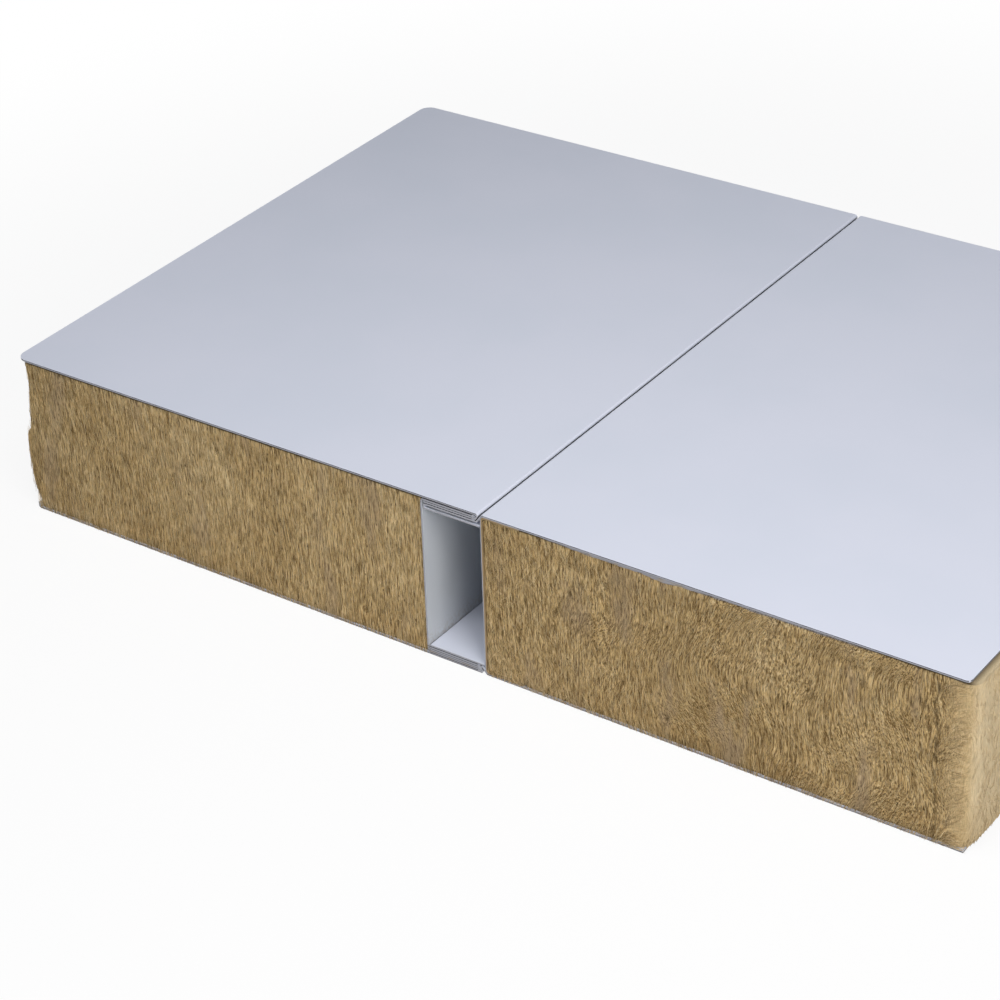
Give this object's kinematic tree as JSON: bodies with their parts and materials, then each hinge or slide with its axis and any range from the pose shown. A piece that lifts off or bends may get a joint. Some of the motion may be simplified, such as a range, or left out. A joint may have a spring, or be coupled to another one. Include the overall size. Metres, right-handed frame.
{
  "type": "cleanroom panel",
  "caption": "Steel-faced rock wool cleanroom wall panel sample: flat painted skins on a fibrous core, with a folded tongue-and-groove lock around a hollow joint.",
  "frame": {"origin": "centre of the underside of the sample's box", "axes": "+X across the joint from the grooved panel to the tongued panel, +Y along the joint, +Z through the thickness to the upper skins"},
  "size_m": [0.3, 0.194, 0.05],
  "materials": {
    "skin_paint": "pale grey-white satin coil coating on 0.5 mm steel",
    "channel_coat": "pale grey matte coated steel",
    "rock_wool": "matte tan mineral fibre, cut face with dark pits"
  },
  "bodies": {
    "root": {"left_top_sheet": "skin_paint", "left_bottom_sheet": "skin_paint", "left_edge_channel": "channel_coat", "left_wool_core": "rock_wool", "right_top_sheet": "skin_paint", "right_bottom_sheet": "skin_paint", "right_edge_channel": "channel_coat", "right_wool_core": "rock_wool"}
  },
  "joints": []
}
